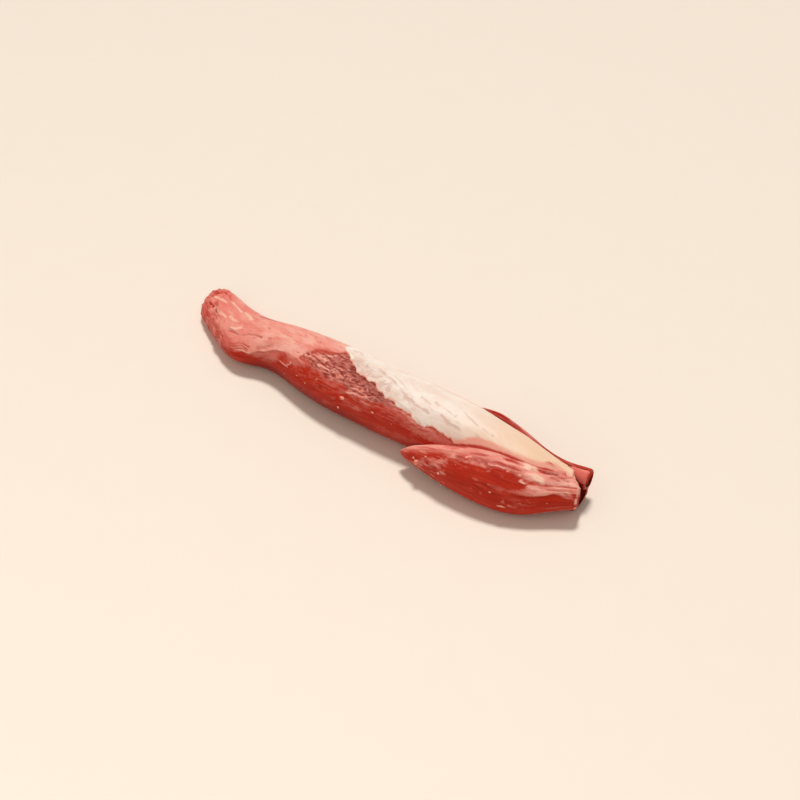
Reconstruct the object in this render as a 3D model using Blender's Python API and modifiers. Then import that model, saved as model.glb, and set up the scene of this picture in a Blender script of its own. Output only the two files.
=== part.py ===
"""A whole raw beef tenderloin, laid flat, as one solid.

The cut is three muscles that their membranes hold together: the long fillet, which runs from the thin
tail to the thick butt, the side muscle in front of the butt, whose pointed tip stands free, and the chain,
a narrow strip behind the butt. Each is a soft loft from a coarse cage, and they are joined into one body.
X runs along the cut from tail to butt, and the side muscle lies at -Y. The cut lies on the plane Z = 0,
and the origin is under the middle of its box.
"""

import math

import bmesh
import bpy
from mathutils import Matrix, Vector, noise

MM = 0.001

# Each station is (x, y of the middle, height of the top, half width), all in millimetres.
FILLET = [
    (-270, 45, 18, 14),
    (-256, 40, 26, 24),
    (-230, 29, 32, 28),
    (-199, 12, 35, 34),
    (-172, 8, 38, 38),
    (-142, 15, 44, 32),
    (-113, 14, 48, 34),
    (-63, 7, 54, 42),
    (-13, 5, 58, 43),
    (50, 1, 60, 41),
    (112, 4, 62, 38),
    (172, 0, 58, 34),
    (222, -4, 50, 30),
    (250, 4, 41, 20),
    (289, 6, 37, 17),
]
FILLET_AROUND = 12
FILLET_SINK = 0.45  # the middle of a section, as a share of its top height

# Each station is (x, y, z of the middle, half width, half height, lean in degrees).
SIDE_MUSCLE = [
    (68, -50, 21, 3, 3, 10),
    (80, -48, 22, 8, 8, 16),
    (102, -44, 24, 16, 15, 22),
    (132, -40, 26, 25, 23, 28),
    (172, -35, 27, 32, 25, 29),
    (212, -28, 26, 34, 21, 28),
    (242, -15, 26, 27, 17, 27),
    (265, -3, 28, 17, 12, 26),
    (291, 5, 29, 14, 10, 25),
]
SIDE_AROUND = 12

CHAIN = [
    (99, 31, 34, 3, 4, 0),
    (119, 37, 35, 5, 8, 0),
    (147, 39, 33, 7, 11, 0),
    (182, 28, 33, 7, 11, 0),
    (217, 17, 33, 6, 10, 0),
    (243, 15, 31, 8, 11, 0),
    (264, 19, 29, 12, 13, 0),
    (289, 20, 28, 12, 12, 0),
]
CHAIN_AROUND = 8

SMOOTHING = 2  # levels of subdivision
BUTT_CUT_X = 266
BUTT_CUT_Y = 18
BUTT_CUT_TURN = 3  # degrees that the cut face is turned towards the chain
BLOCK_SIDE = 800

# The tail's upper side is creased where it folds down to the front. Each line is (x, y) in plan.
FOLDS = [
    [(-198, -4), (-174, -9), (-150, -2), (-128, -3)],
    [(-208, -19), (-170, -15), (-152, -17), (-134, -8), (-100, -7)],
]
FOLD_DEPTH = 2.6
FOLD_WIDTH = 4.5
FOLD_FLOOR = 16  # the creases stay above this height

# The unevenness of the muscles, in millimetres.
FIBRE_DEPTH = 0.7
FIBRE_SPACING = 15
FIBRE_STRETCH = 4  # the ridges are this many times longer than they are wide
LUMP_DEPTH = 1.6
LUMP_SIZE = 55
FINE_LUMP_DEPTH = 0.6
FINE_LUMP_SIZE = 22

MEAT_COLOUR = (0.36, 0.035, 0.022, 1)
MEAT_ROUGHNESS = 0.38


def clear_scene():
    for obj in list(bpy.data.objects):
        bpy.data.objects.remove(obj)


def meat_material():
    material = bpy.data.materials.new("raw_beef")
    material.use_nodes = True
    shader = material.node_tree.nodes["Principled BSDF"]
    shader.inputs["Base Color"].default_value = MEAT_COLOUR
    shader.inputs["Roughness"].default_value = MEAT_ROUGHNESS
    shader.inputs["Metallic"].default_value = 0.0
    return material


def fillet_sections():
    """The fillet's stations as full sections, whose undersides reach a little below the plane Z = 0."""
    sections = []
    for x, y, top, half_width in FILLET:
        middle = FILLET_SINK * top
        sections.append((x, y, middle, half_width, top - middle, 0))
    return sections


def loft(name, sections, around):
    """A closed cage of elliptical rings, grown so that its Subdivision Surface has the stated size."""
    shrink = (2 + math.cos(2 * math.pi / around)) / 3
    mesh = bmesh.new()
    rings = []
    for x, y, z, half_width, half_height, lean in sections:
        turn = Matrix.Rotation(math.radians(lean), 3, "X")
        ring = []
        for i in range(around):
            angle = 2 * math.pi * i / around
            offset = turn @ Vector((0, half_width * math.cos(angle), half_height * math.sin(angle)))
            ring.append(mesh.verts.new((Vector((x, y, z)) + offset / shrink) * MM))
        rings.append(ring)
    for first, second in zip(rings, rings[1:]):
        for i in range(around):
            j = (i + 1) % around
            mesh.faces.new((first[i], second[i], second[j], first[j]))
    mesh.faces.new(rings[0])
    mesh.faces.new(reversed(rings[-1]))
    bmesh.ops.recalc_face_normals(mesh, faces=mesh.faces)
    data = bpy.data.meshes.new(name)
    mesh.to_mesh(data)
    mesh.free()
    obj = bpy.data.objects.new(name, data)
    bpy.context.scene.collection.objects.link(obj)
    smooth = obj.modifiers.new("Smooth", "SUBSURF")
    smooth.levels = smooth.render_levels = SMOOTHING
    return obj


def apply_modifiers(obj):
    """Replaces the object's mesh by the one its modifiers make."""
    graph = bpy.context.evaluated_depsgraph_get()
    made = bpy.data.meshes.new_from_object(obj.evaluated_get(graph))
    obj.modifiers.clear()
    obj.data = made


def fold_depth(at):
    """How far the creases sink the surface at a point, in millimetres: a soft trough along each line."""
    if at.z < FOLD_FLOOR:
        return 0
    depth = 0
    for line in FOLDS:
        nearest = min(distance_to_segment(at.xy, Vector(a), Vector(b)) for a, b in zip(line, line[1:]))
        depth += FOLD_DEPTH * math.exp(-((nearest / FOLD_WIDTH) ** 2))
    return depth


def distance_to_segment(point, start, end):
    along = end - start
    share = (point - start).dot(along) / along.length_squared
    return (point - start - along * min(max(share, 0), 1)).length


def relief(point):
    """Height of the muscle's unevenness at a point, in metres: ridges along the fibres, lumps, creases."""
    at = point / MM
    stretched = Vector((at.x / FIBRE_STRETCH, at.y, at.z))
    fibres = noise.noise(stretched / FIBRE_SPACING)
    lumps = noise.noise(at / LUMP_SIZE)
    fine_lumps = noise.noise(at / FINE_LUMP_SIZE)
    height = FIBRE_DEPTH * fibres + LUMP_DEPTH * lumps + FINE_LUMP_DEPTH * fine_lumps
    return (height - fold_depth(at)) * MM


def add_relief(obj):
    normals = [vertex.normal.copy() for vertex in obj.data.vertices]
    for vertex, normal in zip(obj.data.vertices, normals):
        vertex.co += normal * relief(vertex.co)


def muscle(name, sections, around):
    obj = loft(name, sections, around)
    apply_modifiers(obj)
    add_relief(obj)
    return obj


def block(place, turn_degrees):
    """A large cube that begins at the place and reaches along +X, turned about Z."""
    bpy.ops.mesh.primitive_cube_add(size=BLOCK_SIDE * MM)
    cube = bpy.context.object
    cube.data.transform(Matrix.Translation((BLOCK_SIDE / 2 * MM, 0, 0)))
    cube.location = Vector(place) * MM
    cube.rotation_euler.z = math.radians(turn_degrees)
    bpy.context.view_layer.update()
    return cube


def combine(body, others, operation):
    """Joins the others to the body, or cuts them away, and removes them."""
    helpers = bpy.data.collections.new("helpers")
    bpy.context.scene.collection.children.link(helpers)
    for obj in others:
        helpers.objects.link(obj)
    modifier = body.modifiers.new("Combine", "BOOLEAN")
    modifier.operation = operation
    modifier.operand_type = "COLLECTION"
    modifier.collection = helpers
    modifier.solver = "EXACT"
    apply_modifiers(body)
    for obj in others:
        bpy.data.objects.remove(obj)
    bpy.data.collections.remove(helpers)


def main():
    clear_scene()
    parts = bpy.data.collections.new("beef_tenderloin")
    body = muscle("tenderloin", fillet_sections(), FILLET_AROUND)
    side_muscle = muscle("side_muscle", SIDE_MUSCLE, SIDE_AROUND)
    chain = muscle("chain", CHAIN, CHAIN_AROUND)
    combine(body, [side_muscle, chain], "UNION")
    past_butt = block((BUTT_CUT_X, BUTT_CUT_Y, 0), BUTT_CUT_TURN)
    under_floor = block((-BLOCK_SIDE / 2, 0, -BLOCK_SIDE / 2), 0)
    combine(body, [past_butt, under_floor], "DIFFERENCE")
    body.data.materials.clear()
    body.data.materials.append(meat_material())
    body.data.shade_smooth()
    bpy.context.scene.collection.children.link(parts)
    bpy.context.scene.collection.objects.unlink(body)
    parts.objects.link(body)


main()
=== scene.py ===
import math

import bpy
import numpy as np
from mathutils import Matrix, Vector


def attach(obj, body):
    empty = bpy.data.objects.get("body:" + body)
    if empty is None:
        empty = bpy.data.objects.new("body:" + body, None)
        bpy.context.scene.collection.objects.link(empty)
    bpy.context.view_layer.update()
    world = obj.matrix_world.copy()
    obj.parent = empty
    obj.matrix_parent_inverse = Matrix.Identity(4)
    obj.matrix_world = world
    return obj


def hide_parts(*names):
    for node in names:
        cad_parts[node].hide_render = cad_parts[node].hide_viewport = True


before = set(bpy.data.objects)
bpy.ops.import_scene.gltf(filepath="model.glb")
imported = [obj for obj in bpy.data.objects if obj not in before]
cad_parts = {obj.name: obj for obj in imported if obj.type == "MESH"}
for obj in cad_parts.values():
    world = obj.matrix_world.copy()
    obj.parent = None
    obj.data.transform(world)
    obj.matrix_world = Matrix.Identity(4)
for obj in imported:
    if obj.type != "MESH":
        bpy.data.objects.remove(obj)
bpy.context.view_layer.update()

# A whole raw beef tenderloin: the long fillet with its silverskin, the side muscle and the chain.
# x runs from the thin tail to the cut butt, the side muscle lies at -y. Shapes are worked out in mm.
# Every angle round a muscle is counted in degrees from its top, positive towards the front (-y).

mm = 0.001
bodyName = "root"
nodeName = "tenderloin"


# small numpy tools

def ramp(low, high, value):
    # 0 below low, 1 above high, an S-shaped ramp between them
    share = np.clip((value - low) / (high - low), 0, 1)
    return share * share * (3 - 2 * share)


def plateau(start, top, end, gone, value):
    # 0 up to the start, 1 from the top to the end, and 0 again once gone
    return ramp(start, top, value) * ramp(gone, end, value)


def latticeValue(i, j, k, seed):
    # evenly spread numbers from 0 to 1, one for each lattice corner, mixed from its whole coordinates
    mixed = (i * 73856093) ^ (j * 19349663) ^ (k * 83492791) ^ (seed * 62089911)
    mixed = ((mixed ^ (mixed >> 13)) * 1274126177) & 0xFFFFFFFF
    return ((mixed ^ (mixed >> 15)) & 0xFFFF) / 65535


def softNoise(points, size, seed, stretch=1):
    # smooth noise from -1 to 1: corner values of cells "size" mm wide, "stretch" times longer in x,
    # blended across each cell with S-shaped weights
    cells = points / np.array([size * stretch, size, size])
    whole = np.floor(cells).astype(np.int64)
    part = cells - whole
    part = part * part * (3 - 2 * part)
    total = np.zeros(points.shape[:-1])
    for i in (0, 1):
        for j in (0, 1):
            for k in (0, 1):
                weight = np.abs((1 - np.array([i, j, k])) - part).prod(axis=-1)
                corner = whole + np.array([i, j, k])
                total += weight * latticeValue(corner[..., 0], corner[..., 1], corner[..., 2], seed)
    return 2 * total - 1


def layeredNoise(points, size, seed, layers=3, stretch=1):
    # softNoise summed over layers, each half as wide and half as strong as the one before
    total = sum(softNoise(points, size / 2 ** n, seed + n, stretch) / 2 ** n for n in range(layers))
    return total / (2 - 2 ** (1 - layers))


def distanceToPath(points, path):
    # the nearest distance from each point to a path of straight pieces, in mm
    nearest = np.full(points.shape[:-1], 1e9)
    for start, end in zip(path[:-1], path[1:]):
        along = end - start
        share = np.clip(((points - start) @ along) / (along @ along), 0, 1)
        gap = points - start - share[..., None] * along
        nearest = np.minimum(nearest, np.sqrt((gap * gap).sum(axis=-1)))
    return nearest


def wavy(points, depth, size, seed):
    # the points pushed about by soft noise, which bends whatever pattern is read there
    push = [softNoise(points, size, seed + n) for n in range(3)]
    return points + depth * np.stack(push, axis=-1)


def noises(points, table):
    # every noise of a table by its name; a row is its size in mm, its seed, its stretch along x, its
    # layers and the (depth, size, seed) of the noise that bends it
    def one(size, seed, stretch=1, layers=1, bend=None):
        return layeredNoise(wavy(points, *bend) if bend else points, size, seed, layers, stretch)
    return {name: one(*row) for name, row in table.items()}


# the muscles' smooth forms

butt = dict(
    cutY=18,                        # each muscle's cutX is measured here
    turn=3,                         # degrees that the cut is turned
    rim=2.2, rimRows=5,             # rounding of its edges
    past=4.0,                       # rows of a cut face are read this far past it; the plane stops them
    drawnOver=26,                   # mm over which its edges begin to be drawn back
    lensBack=(-6, -0.6), lensGap=0.4, lensLift=0.5, lensRows=(6, 12), lensColumns=72,
    lumps=1.4, lumpSize=6,          # unevenness of its cut faces
    paintedLightFrom=(26, 33), paintedLightWander=2,    # heights between which a face is painted pink, as painted light on its top
)

ground = dict(press=5, ease=0.04)       # mm over which an underside is pressed flat, and how softly
thinnest = 0.2                          # the least half width or half height of a section
crowding = dict(share=0.45, at=20)      # the columns draw together by this share, at this angle


def splineSections(stations, x):
    # a uniform cubic B-spline through the rows of stations, read off at each x
    table = np.array(stations, float)
    table = np.vstack([2 * table[0] - table[1], table, 2 * table[-1] - table[-2]])
    t = np.linspace(0, len(table) - 3, 3000)
    i = np.minimum(t.astype(int), len(table) - 4)
    f = (t - i)[:, None]
    dense = ((1 - f) ** 3 * table[i] + (3 * f ** 3 - 6 * f ** 2 + 4) * table[i + 1]
             + (-3 * f ** 3 + 3 * f ** 2 + 3 * f + 1) * table[i + 2] + f ** 3 * table[i + 3]) / 6
    return [np.interp(x, dense[:, 0], dense[:, n]) for n in range(1, table.shape[1])]


def pressFlat(z):
    # heights above the floor stay, and those near or under it bend smoothly onto it
    press = ground["press"]
    soft = 0.5 * (z + np.sqrt(z * z + press ** 2))
    return np.maximum(soft - ground["ease"] * press ** 2 / (np.abs(z) + press), 0)


def onMuscle(stations, x, angle, inset=0, scale=1, muscle=None):
    # the point of a leaning ellipse at x: the half width times the angle's sine goes to the front, the
    # half height times its cosine goes up, both less the inset and times the scale. The cut plane
    # stops it at the butt, drawn back by the bevel (angles, mm), and the floor presses it flat.
    y, z, halfWidth, halfHeight, lean = splineSections(stations, x)
    turn, leaning = np.radians(angle), np.radians(lean)
    side = -np.maximum(halfWidth - inset, thinnest) * scale * np.sin(turn)
    rise = np.maximum(halfHeight - inset, thinnest) * scale * np.cos(turn)
    across = y + side * np.cos(leaning) - rise * np.sin(leaning)
    height = pressFlat(z + side * np.sin(leaning) + rise * np.cos(leaning))
    along = x + 0 * across
    if muscle is not None:
        cutX = muscle["cutX"]
        cutPlane = cutX + (butt["cutY"] - across) * math.tan(math.radians(butt["turn"]))
        along = np.minimum(along, cutPlane) - muscle["dish"] * (1 - scale ** 3) * (x > cutX)
        drawnBack = np.interp(angle, *muscle["bevel"])
        along = along - drawnBack * scale * ramp(cutX - butt["drawnOver"], cutX, x)
    return np.stack([along, across, height], axis=-1)


def mmPerDegree(stations, x):
    # how far one degree round the muscle reaches over its skin
    return splineSections(stations, x)[2] * math.pi / 180


def muscleRows(muscle):
    # rows: a domed tip whose radius grows as a quarter circle, even steps along, a rounded rim and
    # the cut face shrinking to its middle; columns: all round, closest together on the upper front
    tipX, domeLength, cutX, rows = [muscle[key] for key in ("tipX", "domeLength", "cutX", "rows")]
    dome = np.radians(np.linspace(0, 90, muscle["domeRows"]))
    rim = np.radians(np.linspace(0, 90, butt["rimRows"])[1:])
    face = np.linspace(1, 0, muscle["faceRows"])[1:]
    rimStart = cutX - butt["rim"]
    x = np.concatenate([tipX + domeLength * (1 - np.cos(dome)),
                        np.linspace(tipX + domeLength, rimStart, rows)[1:],
                        rimStart + butt["rim"] * np.sin(rim), np.full(len(face), cutX + butt["past"])])
    scale = np.concatenate([np.sin(dome) ** muscle["bluntness"], np.ones(rows - 1 + len(rim)), face])
    inset = np.concatenate([np.zeros(len(dome) + rows - 1), butt["rim"] * (1 - np.cos(rim)),
                            np.full(len(face), butt["rim"])])
    turn = np.linspace(-math.pi, math.pi, muscle["columns"] + 1)[:-1]
    angle = np.degrees(turn - crowding["share"] * np.sin(turn - math.radians(crowding["at"])))
    isFace = x > cutX - 0.01
    grid = np.zeros((len(x), len(angle)))
    return [grid + part for part in (x[:, None], angle, inset[:, None], scale[:, None], isFace[:, None])]


def outwardNormals(points, wraps=True):
    # the cross product of the steps along the columns and along the rows, made one unit long
    down = np.gradient(points, axis=0)
    if wraps:
        across = np.roll(points, -1, axis=1) - np.roll(points, 1, axis=1)
    else:
        across = np.gradient(points, axis=1)
    normals = np.cross(across, down)
    length = np.sqrt((normals * normals).sum(axis=-1, keepdims=True))
    normals = normals / np.maximum(length, 1e-9)
    outward = (normals * (points - points.mean(axis=1, keepdims=True))).sum()
    return normals if outward > 0 else -normals


# making meshes from the grids

def makeObject(name, vertices, faces, masks, skin, material):
    # a mesh from arrays, with one number per vertex for each mask and its place along the fibres in metres
    mesh = bpy.data.meshes.new(name)
    mesh.from_pydata((vertices * mm).tolist(), [], faces)
    for maskName, values in masks.items():
        attribute = mesh.attributes.new(maskName, "FLOAT", "POINT")
        attribute.data.foreach_set("value", np.asarray(values, np.float32).ravel())
    fibres = mesh.attributes.new("fibres", "FLOAT_VECTOR", "POINT")
    fibres.data.foreach_set("vector", np.asarray(skin * mm, np.float32).ravel())
    mesh.materials.append(material)
    mesh.shade_smooth()
    mesh.validate()
    piece = bpy.data.objects.new(name, mesh)
    bpy.context.scene.collection.objects.link(piece)
    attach(piece, bodyName)
    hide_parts(nodeName)
    print("made", name, len(vertices), "vertices", len(faces), "faces")
    return piece


def tubeFaces(rows, columns):
    # the faces of a grid that closes round its columns and whose first and last row are one pole each;
    # the inner rows' vertices come first, then the two poles
    ring = np.arange(columns)
    after = (ring + 1) % columns
    body = np.arange(rows - 3)[:, None] * columns
    a, b = body + ring, body + after
    quads = np.stack([a, b, b + columns, a + columns], axis=-1).reshape(-1, 4)
    firstPole, lastRing = (rows - 2) * columns, (rows - 3) * columns
    firstFan = np.stack([np.full(columns, firstPole), after, ring], axis=-1)
    lastFan = np.stack([np.full(columns, firstPole + 1), lastRing + ring, lastRing + after], axis=-1)
    return quads.tolist() + firstFan.tolist() + lastFan.tolist()


def lookingOut(vertices, faces):
    # the sum of the corner products of each face's first triangle is negative if they look inwards
    first = np.array([face[:3] for face in faces])
    a, b, c = [vertices[first[:, n]] for n in range(3)]
    return faces if (np.cross(a, b) * c).sum() > 0 else [face[::-1] for face in faces]


def closedTube(name, points, masks, skin, material):
    # a grid that closes round its columns; the first and the last row are drawn together to a pole
    rows, columns = points.shape[:2]

    def withPoles(grid):
        inner = grid[1:-1].reshape((rows - 2) * columns, *grid.shape[2:])
        return np.concatenate([inner, grid[:1].mean(axis=1), grid[-1:].mean(axis=1)])

    vertices = withPoles(points)
    faces = lookingOut(vertices, tubeFaces(rows, columns))
    flatMasks = {key: withPoles(mask) for key, mask in masks.items()}
    return makeObject(name, vertices, faces, flatMasks, withPoles(skin), material)


def openSheet(name, points, masks, skin, material):
    rows, columns = points.shape[:2]
    index = np.arange(rows * columns).reshape(rows, columns)
    a, b, c, d = index[:-1, :-1], index[:-1, 1:], index[1:, 1:], index[1:, :-1]
    faces = np.stack([a, b, c, d], axis=-1).reshape(-1, 4)
    rise = np.cross(points[0, 1] - points[0, 0], points[1, 0] - points[0, 0])
    if rise @ np.array([0, 0, 1]) < 0:
        faces = faces[:, ::-1]
    flatMasks = {key: mask.reshape(-1) for key, mask in masks.items()}
    return makeObject(name, points.reshape(-1, 3), faces.tolist(), flatMasks, skin.reshape(-1, 3), material)


# materials

def linearColour(hexColour):
    # sRGB hex to the linear values that a shader takes
    channels = [int(hexColour[n:n + 2], 16) / 255 for n in (1, 3, 5)]
    return [c / 12.92 if c <= 0.04045 else ((c + 0.055) / 1.055) ** 2.4 for c in channels] + [1]


def addNode(material, kind, settings=None, links=None):
    # one node: its settings by attribute or by input name, its links as input name to another's output
    node = material.node_tree.nodes.new(kind)
    for key, value in (settings or {}).items():
        if isinstance(key, str) and hasattr(node, key):
            setattr(node, key, value)
        else:
            node.inputs[key].default_value = value
    for key, socket in (links or {}).items():
        material.node_tree.links.new(socket, node.inputs[key])
    return node


def newMaterial(name):
    material = bpy.data.materials.new(name)
    material.use_nodes = True
    material.node_tree.nodes.clear()
    return material


def maskNode(material, name):
    return addNode(material, "ShaderNodeAttribute", {"attribute_name": name}).outputs["Fac"]


def mixColours(material, share, first, second):
    # the first colour where the share is 0 and the second where it is 1; each is a hex or a socket
    node = addNode(material, "ShaderNodeMix", {"data_type": "RGBA"}, {0: share})
    for place, colour in ((6, first), (7, second)):
        if isinstance(colour, str):
            node.inputs[place].default_value = linearColour(colour)
        else:
            material.node_tree.links.new(colour, node.inputs[place])
    return node.outputs[2]


def noisePattern(material, sizeMm, stretch, detail, roughness=0.55, alongFibres=True):
    # noise whose features are about sizeMm wide, stretched along the fibres; it is read at a place's
    # position along the fibres, or on Object coordinates
    if alongFibres:
        place = addNode(material, "ShaderNodeAttribute", {"attribute_name": "fibres"}).outputs["Vector"]
    else:
        place = addNode(material, "ShaderNodeTexCoord").outputs["Object"]
    mapped = addNode(material, "ShaderNodeMapping", {"Scale": (1 / stretch, 1, 1)}, {"Vector": place})
    return addNode(material, "ShaderNodeTexNoise",
                   {"Scale": 1 / (sizeMm * mm), "Detail": detail, "Roughness": roughness},
                   {"Vector": mapped.outputs[0]}).outputs["Fac"]


def sharpen(material, socket, low, high):
    # stretches the part of a pattern between low and high to the full range from 0 to 1
    return addNode(material, "ShaderNodeMapRange", {"From Min": low, "From Max": high},
                   {"Value": socket}).outputs[0]


def multiply(material, first, second):
    node = addNode(material, "ShaderNodeMath", {"operation": "MULTIPLY"}, {0: first})
    if isinstance(second, (int, float)):
        node.inputs[1].default_value = second
    else:
        material.node_tree.links.new(second, node.inputs[1])
    return node.outputs[0]


def brokenMask(material, name, pattern, depth):
    # a mask whose soft edges break up along the pattern: mask times (1 + depth) less depth times pattern
    pushed = multiply(material, pattern, -depth)
    return addNode(material, "ShaderNodeMath", {"operation": "MULTIPLY_ADD", "use_clamp": True, 1: 1 + depth},
                   {0: maskNode(material, name), 2: pushed}).outputs[0]


def finishMaterial(material, colour, settings, heights):
    # the shader itself; heights are (socket, depth in mm) pairs, chained as bumps
    shader = addNode(material, "ShaderNodeBsdfPrincipled", settings, {"Base Color": colour})
    normal = None
    for socket, depth in heights:
        bump = addNode(material, "ShaderNodeBump", {"Strength": 1, "Distance": depth * mm},
                       {"Height": socket})
        if normal is not None:
            material.node_tree.links.new(normal, bump.inputs["Normal"])
        normal = bump.outputs[0]
    if normal is not None:
        material.node_tree.links.new(normal, shader.inputs["Normal"])
    output = addNode(material, "ShaderNodeOutputMaterial")
    material.node_tree.links.new(shader.outputs[0], output.inputs["Surface"])
    return material


def patternMix(material, pattern, low, high, first, second):
    # the first colour where the pattern is under low and the second where it is over high
    return mixColours(material, sharpen(material, pattern, low, high), first, second)


def layMasks(material, colour, pattern, layers):
    # each layer, as (mask, how far the pattern breaks its edge up, colour), laid over the one before
    for name, depth, over in layers:
        colour = mixColours(material, brokenMask(material, name, pattern, depth), colour, over)
    return colour


def sunkLight(weight, *reach):
    # shader settings for light that sinks in, with its reach in mm for red, green and blue
    return {"Subsurface Weight": weight, "Subsurface Radius": tuple(r * mm for r in reach),
            "Subsurface Scale": 1.0}


beefLook = dict(
    lean="#BA2A13",         # deep red muscle
    leanLight="#CE452F",    # the fibres' backs
    leanDark="#8F1508",     # between the fibres
    film="#E88C80",         # thin connective film over red
    filmPale="#F4B8AC",
    filmDeep="#D95F50",     # where the film is thinnest
    filmRosy="#E6766C",     # over the thin tail
    bruise="#8F2923",       # dry, purplish patch where a muscle was pulled off
    bruiseLight="#DC8B7E",
    cream="#FFE0CC",        # fat
    # painted shade: darkens creases, pits, hollows, dents, gaps and undersides
    shadedCrease="#720F08",
    # patterns: width in mm, stretch along the fibres, detail, roughness
    bundles=(2.2, 9, 3), fineFibres=(0.8, 14, 2), mottle=(9, 2.5, 5, 0.65), torn=(2.6, 3.5, 5, 0.7),
    shreds=(1.9, 4, 4, 0.62),
    shader={"Roughness": 0.4, "IOR": 1.23, "Coat Weight": 0.05, "Coat Roughness": 0.25, "Coat IOR": 1.33},
)


def makeBeef():
    # Raw beef, a moist translucent muscle: light sinks in and comes back red, and its thin film of
    # water gives soft highlights that fibres break up. Fibre bundles are 1 to 2 mm wide.
    material, look = newMaterial("rawBeef"), beefLook
    bundles, fineFibres, mottle, torn, shreds = [
        noisePattern(material, *look[key]) for key in ("bundles", "fineFibres", "mottle", "torn", "shreds")]
    torn = sharpen(material, torn, 0.32, 0.68)
    lean = patternMix(material, bundles, 0.32, 0.68, look["leanDark"], look["leanLight"])
    lean = patternMix(material, mottle, 0.3, 0.62, lean, look["lean"])
    bruise = patternMix(material, shreds, 0.38, 0.62, look["bruise"], look["bruiseLight"])
    film = patternMix(material, mottle, 0.36, 0.64, look["film"], look["filmPale"])
    film = patternMix(material, torn, 0.3, 0, film, look["filmDeep"])
    film = mixColours(material, maskNode(material, "rosy"), film, look["filmRosy"])
    colour = layMasks(material, lean, torn,
                      [("bruise", 0.6, bruise), ("film", 0.5, film), ("cream", 0.5, look["cream"])])
    # painted shade, laid over the colour where shade falls
    colour = mixColours(material, maskNode(material, "shadedCrease"), colour, look["shadedCrease"])
    settings = {**look["shader"], **sunkLight(0.2, 4, 1.2, 0.8)}
    return finishMaterial(material, colour, settings, [(bundles, 0.16), (fineFibres, 0.12)])


cutLook = dict(
    # dark and red: the crumbly grain of the cut faces, both painted darker as shade; pink: painted light on
    # their tops
    dark="#3A0601", red="#6E1409", pink="#D8452F",
    shader={"Roughness": 0.85, "IOR": 1.3, "Specular IOR Level": 0.05},
)


def makeShadedCutFace():
    # A cut across the fibres: dull and crumbly, with no wet shine. Its dark colour is painted shade, for the
    # cut faces look away from the light; the pink on their tops is painted light.
    material = newMaterial("shadedCutFace")
    crumbs = noisePattern(material, 2, 1, 4, 0.6, alongFibres=False)
    colour = patternMix(material, crumbs, 0.4, 0.68, cutLook["dark"], cutLook["red"])
    colour = layMasks(material, colour, crumbs, [("pink", 0.4, cutLook["pink"])])
    return finishMaterial(material, colour, cutLook["shader"], [(crumbs, 0.6)])


skinLook = dict(
    pale="#F8E3D9",
    sheenPatch="#FFF4ED",
    greyAndShade="#DEBFB5",         # greyish where it is thin; also painted shade where it turns to the front and in its wrinkles
    pink="#F5A998",         # where the red below shows through
    peach="#F9D3B8",        # towards the butt
    red="#C03A2A",
    shader={"Roughness": 0.5, "IOR": 1.34, "Coat Weight": 0.05, "Coat Roughness": 0.35},
)


def makeSilverskin():
    # Silverskin, a thin tendon sheet: satin and pearly white, greyish where it is thin, with painted shade in
    # the same grey, pink where the red shows through. Its fibres are under a millimetre wide and run aslant.
    material = newMaterial("silverskinFilm")
    clouds = noisePattern(material, 14, 2, 4)
    streaks = noisePattern(material, 1.4, 14, 3)
    colour = patternMix(material, clouds, 0.35, 0.65, skinLook["pale"], skinLook["sheenPatch"])
    colour = mixColours(material, maskNode(material, "peach"), colour, skinLook["peach"])
    broken = sharpen(material, noisePattern(material, 2.4, 4, 5, 0.7), 0.32, 0.68)
    colour = layMasks(material, colour, broken,
                      [("greyAndShade", 0.5, skinLook["greyAndShade"]), ("pink", 0.6, skinLook["pink"]),
                       ("red", 0.5, skinLook["red"])])
    settings = {**skinLook["shader"], **sunkLight(0.2, 3, 1.5, 1)}
    return finishMaterial(material, colour, settings, [(clouds, 0.3), (streaks, 0.1)])


fatLook = dict(white="#F0B09A", blush="#D8705E", shader={"Roughness": 0.45, "IOR": 1.4})


def makeFat():
    # Soft fat in small beads, waxy and half matt, blushed where it is thin.
    material = newMaterial("softFat")
    clouds = noisePattern(material, 3, 1, 3, alongFibres=False)
    colour = patternMix(material, clouds, 0.35, 0.65, fatLook["white"], fatLook["blush"])
    settings = {**fatLook["shader"], **sunkLight(0.3, 3, 1.8, 1.2)}
    return finishMaterial(material, colour, settings, [(clouds, 0.2)])


# patterns that lie on a muscle's skin

def fibreSpace(x, angle, radius):
    # the muscle's skin rolled onto an even cylinder, so that a pattern runs with the fibres and draws
    # together where the muscle narrows
    turn = np.radians(angle)
    return np.stack([x + 0 * turn, radius * np.sin(turn) + 0 * x, radius * np.cos(turn) + 0 * x], axis=-1)


def alongEdge(pairs, x):
    # the edge's angle at each x, from (x, angle) pairs
    table = np.array(pairs, float)
    return np.interp(x, table[:, 0], table[:, 1])


def onPath(stations, path):
    # a path of (x, angle) pairs as points on the muscle's surface
    pairs = np.array(path, float)
    return onMuscle(stations, pairs[:, 0], pairs[:, 1])


def pathShade(points, stations, paths, width):
    # 1 on any of the paths, falling off as a bell curve of that width
    shade = np.zeros(points.shape[:-1])
    for path in paths:
        gap = distanceToPath(points, onPath(stations, path))
        shade = np.maximum(shade, np.exp(-(gap / width) ** 2))
    return shade


def spot(x, angle, middle, reach):
    # 1 at the middle (x, angle), falling off as a bell curve over the reach in x and in angle
    return np.exp(-((x - middle[0]) / reach[0]) ** 2 - ((angle - middle[1]) / reach[1]) ** 2)


def drawnMarks(points, stations, wander, table):
    # the shade of every mark of a table by its name; a row is its height in mm, its width in mm, how
    # far the wander pushes it about in mm, and its paths as (x, angle)
    return {name: pathShade(points + push * wander[..., None], stations, paths, width)
            for name, (_, width, push, paths) in table.items()}


def markHeight(marks, table):
    # how far all the marks together raise the skin
    return sum(table[name][0] * shade for name, shade in marks.items())


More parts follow.
